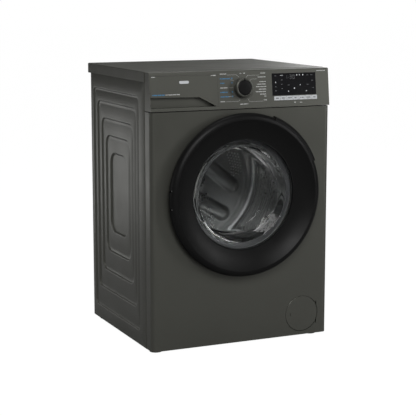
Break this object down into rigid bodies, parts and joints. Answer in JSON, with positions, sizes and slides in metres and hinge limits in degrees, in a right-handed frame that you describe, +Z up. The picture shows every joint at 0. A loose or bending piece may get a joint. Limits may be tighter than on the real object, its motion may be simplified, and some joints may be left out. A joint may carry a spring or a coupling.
{
  "type": "front load washing machine",
  "caption": "Freestanding front load washing machine with a dished round glass door, leaning control panel, detergent drawer, sprung tub and belt driven steel drum.",
  "frame": {"origin": "on the floor under the centre of the machine's bounding box", "axes": "+Z up, the door faces -Y, +X to the right seen from the front"},
  "size_m": [0.6, 0.59, 0.85],
  "materials": {
    "cabinet_paint": "satin dark grey paint",
    "fascia_plastic": "satin dark grey",
    "galvanised_steel": "zinc coated",
    "black_gloss": "semi-gloss black",
    "black_plastic": "matt black",
    "white_plastic": "matt white",
    "tub_plastic": "filled polypropylene",
    "silver_plastic": "silver",
    "display_glass": "smoked window",
    "circuit_board": "board",
    "door_glass": "clear",
    "stainless": "brushed stainless",
    "cast_metal": "cast",
    "iron": "ballast block",
    "steel": "plain steel",
    "grey_rubber": "moulded rubber",
    "black_rubber": "rubber",
    "rear_steel": "painted sheet"
  },
  "bodies": {
    "cabinet": {"side_panel_left": "cabinet_paint", "side_panel_right": "cabinet_paint", "front_panel": "cabinet_paint", "rear_panel": "rear_steel", "base_tray": "black_plastic", "cross_braces": "galvanised_steel", "worktop": "fascia_plastic", "control_panel": "fascia_plastic", "display_window": "display_glass", "control_board": "circuit_board", "drawer_housing": "white_plastic", "door_lock": "black_plastic", "hinge_bracket": "steel", "inlet_valve": "white_plastic", "pump_body": "white_plastic", "drain_hose": "black_rubber", "mains_inlet": "black_plastic", "damper_cylinders": "black_plastic", "cabinet_screws": "steel"},
    "tub": {"tub_rear": "tub_plastic", "tub_front": "tub_plastic", "top_counterweight": "iron", "front_counterweight": "iron", "motor": "cast_metal", "heater": "steel", "drum_bearings": "steel", "drive_belt": "black_rubber", "door_gasket": "grey_rubber", "sump_hose": "black_rubber", "fill_hose": "black_rubber", "suspension_springs": "steel", "damper_rods": "steel"},
    "drum": {"drum_shell": "stainless", "drum_back": "stainless", "drum_spider": "cast_metal", "drum_paddles": "stainless", "drum_pulley": "cast_metal"},
    "motor_pulley": {"motor_pulley": "steel"},
    "door": {"door_ring": "black_gloss", "door_frame": "black_plastic", "door_glass": "door_glass", "hinge_arm": "steel"},
    "door_handle": {"door_handle": "black_gloss"},
    "door_latch": {"door_latch": "steel"},
    "drawer": {"drawer_tray": "white_plastic", "drawer_front": "fascia_plastic"},
    "program_knob": {"program_knob": "fascia_plastic"},
    "pump_filter": {"pump_filter": "white_plastic"},
    "filter_cover": {"filter_cover": "fascia_plastic"},
    "button_1": {"button_1": "silver_plastic"},
    "button_2": {"button_2": "silver_plastic"},
    "button_3": {"button_3": "silver_plastic"},
    "button_4": {"button_4": "silver_plastic"},
    "button_5": {"button_5": "silver_plastic"},
    "button_6": {"button_6": "silver_plastic"},
    "button_7": {"button_7": "silver_plastic"},
    "foot_front_left": {"foot_front_left": "black_plastic"},
    "foot_front_right": {"foot_front_right": "black_plastic"},
    "foot_rear_left": {"foot_rear_left": "black_plastic"},
    "foot_rear_right": {"foot_rear_right": "black_plastic"}
  },
  "joints": [
    {"name": "door_hinge", "type": "hinge", "parent": "cabinet", "child": "door", "pos_m": [-0.236, -0.276, 0.474], "axis": [0, 0, -1], "range_deg": [0, 150]},
    {"name": "door_handle_pull", "type": "hinge", "parent": "door", "child": "door_handle", "pos_m": [0.16971, -0.291, 0.64371], "axis": [0.7071, 0, -0.7071], "range_deg": [0, 10], "stiffness_Nm_per_rad": 1.5, "springref_deg": -8.59},
    {"name": "door_latch_hook", "type": "hinge", "parent": "door", "child": "door_latch", "pos_m": [0.14991, -0.267, 0.62391], "axis": [-0.7071, 0, 0.7071], "range_deg": [0, 12]},
    {"name": "drawer_slide", "type": "slide", "parent": "cabinet", "child": "drawer", "axis": [0, -1, 0], "range_m": [0, 0.2]},
    {"name": "program_knob_turn", "type": "hinge", "parent": "cabinet", "child": "program_knob", "pos_m": [0.002, -0.24805, 0.796], "axis": [0, -0.9936, 0.1132], "continuous": true},
    {"name": "filter_cover_hinge", "type": "hinge", "parent": "cabinet", "child": "filter_cover", "pos_m": [0.258, -0.2535, 0.08], "axis": [0, 0, 1], "range_deg": [0, 95]},
    {"name": "pump_filter_turn", "type": "hinge", "parent": "cabinet", "child": "pump_filter", "pos_m": [0.209, -0.215, 0.08], "axis": [0, -1, 0], "range_deg": [0, 180]},
    {"name": "tub_float", "type": "slide", "parent": "cabinet", "child": "tub", "axis": [0, 0, 1], "range_m": [-0.008, 0.008], "stiffness_N_per_m": 30000, "springref_m": 0.01793, "deforming": ["suspension_springs", "sump_hose", "fill_hose", "door_gasket"]},
    {"name": "drum_spin", "type": "hinge", "parent": "tub", "child": "drum", "pos_m": [0, 0, 0.474], "axis": [0, 1, 0], "continuous": true},
    {"name": "motor_pulley_spin", "type": "hinge", "parent": "tub", "child": "motor_pulley", "pos_m": [0, 0.175, 0.128], "axis": [0, 1, 0], "continuous": true},
    {"name": "button_1_press", "type": "slide", "parent": "cabinet", "child": "button_1", "axis": [0, 0.9936, -0.1132], "range_m": [0, 0.0012], "stiffness_N_per_m": 400, "springref_m": -0.002},
    {"name": "button_2_press", "type": "slide", "parent": "cabinet", "child": "button_2", "axis": [0, 0.9936, -0.1132], "range_m": [0, 0.0012], "stiffness_N_per_m": 400, "springref_m": -0.002},
    {"name": "button_3_press", "type": "slide", "parent": "cabinet", "child": "button_3", "axis": [0, 0.9936, -0.1132], "range_m": [0, 0.0012], "stiffness_N_per_m": 400, "springref_m": -0.002},
    {"name": "button_4_press", "type": "slide", "parent": "cabinet", "child": "button_4", "axis": [0, 0.9936, -0.1132], "range_m": [0, 0.0012], "stiffness_N_per_m": 400, "springref_m": -0.002},
    {"name": "button_5_press", "type": "slide", "parent": "cabinet", "child": "button_5", "axis": [0, 0.9936, -0.1132], "range_m": [0, 0.0012], "stiffness_N_per_m": 400, "springref_m": -0.002},
    {"name": "button_6_press", "type": "slide", "parent": "cabinet", "child": "button_6", "axis": [0, 0.9936, -0.1132], "range_m": [0, 0.0012], "stiffness_N_per_m": 400, "springref_m": -0.002},
    {"name": "button_7_press", "type": "slide", "parent": "cabinet", "child": "button_7", "axis": [0, 0.9936, -0.1132], "range_m": [0, 0.0012], "stiffness_N_per_m": 400, "springref_m": -0.002},
    {"name": "foot_front_left_height", "type": "slide", "parent": "cabinet", "child": "foot_front_left", "axis": [0, 0, -1], "range_m": [0, 0.015]},
    {"name": "foot_front_right_height", "type": "slide", "parent": "cabinet", "child": "foot_front_right", "axis": [0, 0, -1], "range_m": [0, 0.015]},
    {"name": "foot_rear_left_height", "type": "slide", "parent": "cabinet", "child": "foot_rear_left", "axis": [0, 0, -1], "range_m": [0, 0.015]},
    {"name": "foot_rear_right_height", "type": "slide", "parent": "cabinet", "child": "foot_rear_right", "axis": [0, 0, -1], "range_m": [0, 0.015]}
  ],
  "couplings": [
    {"joint": "motor_pulley_spin", "follows": "drum_spin", "ratio": 12.727},
    {"joint": "door_latch_hook", "follows": "door_handle_pull", "ratio": 1.2}
  ]
}
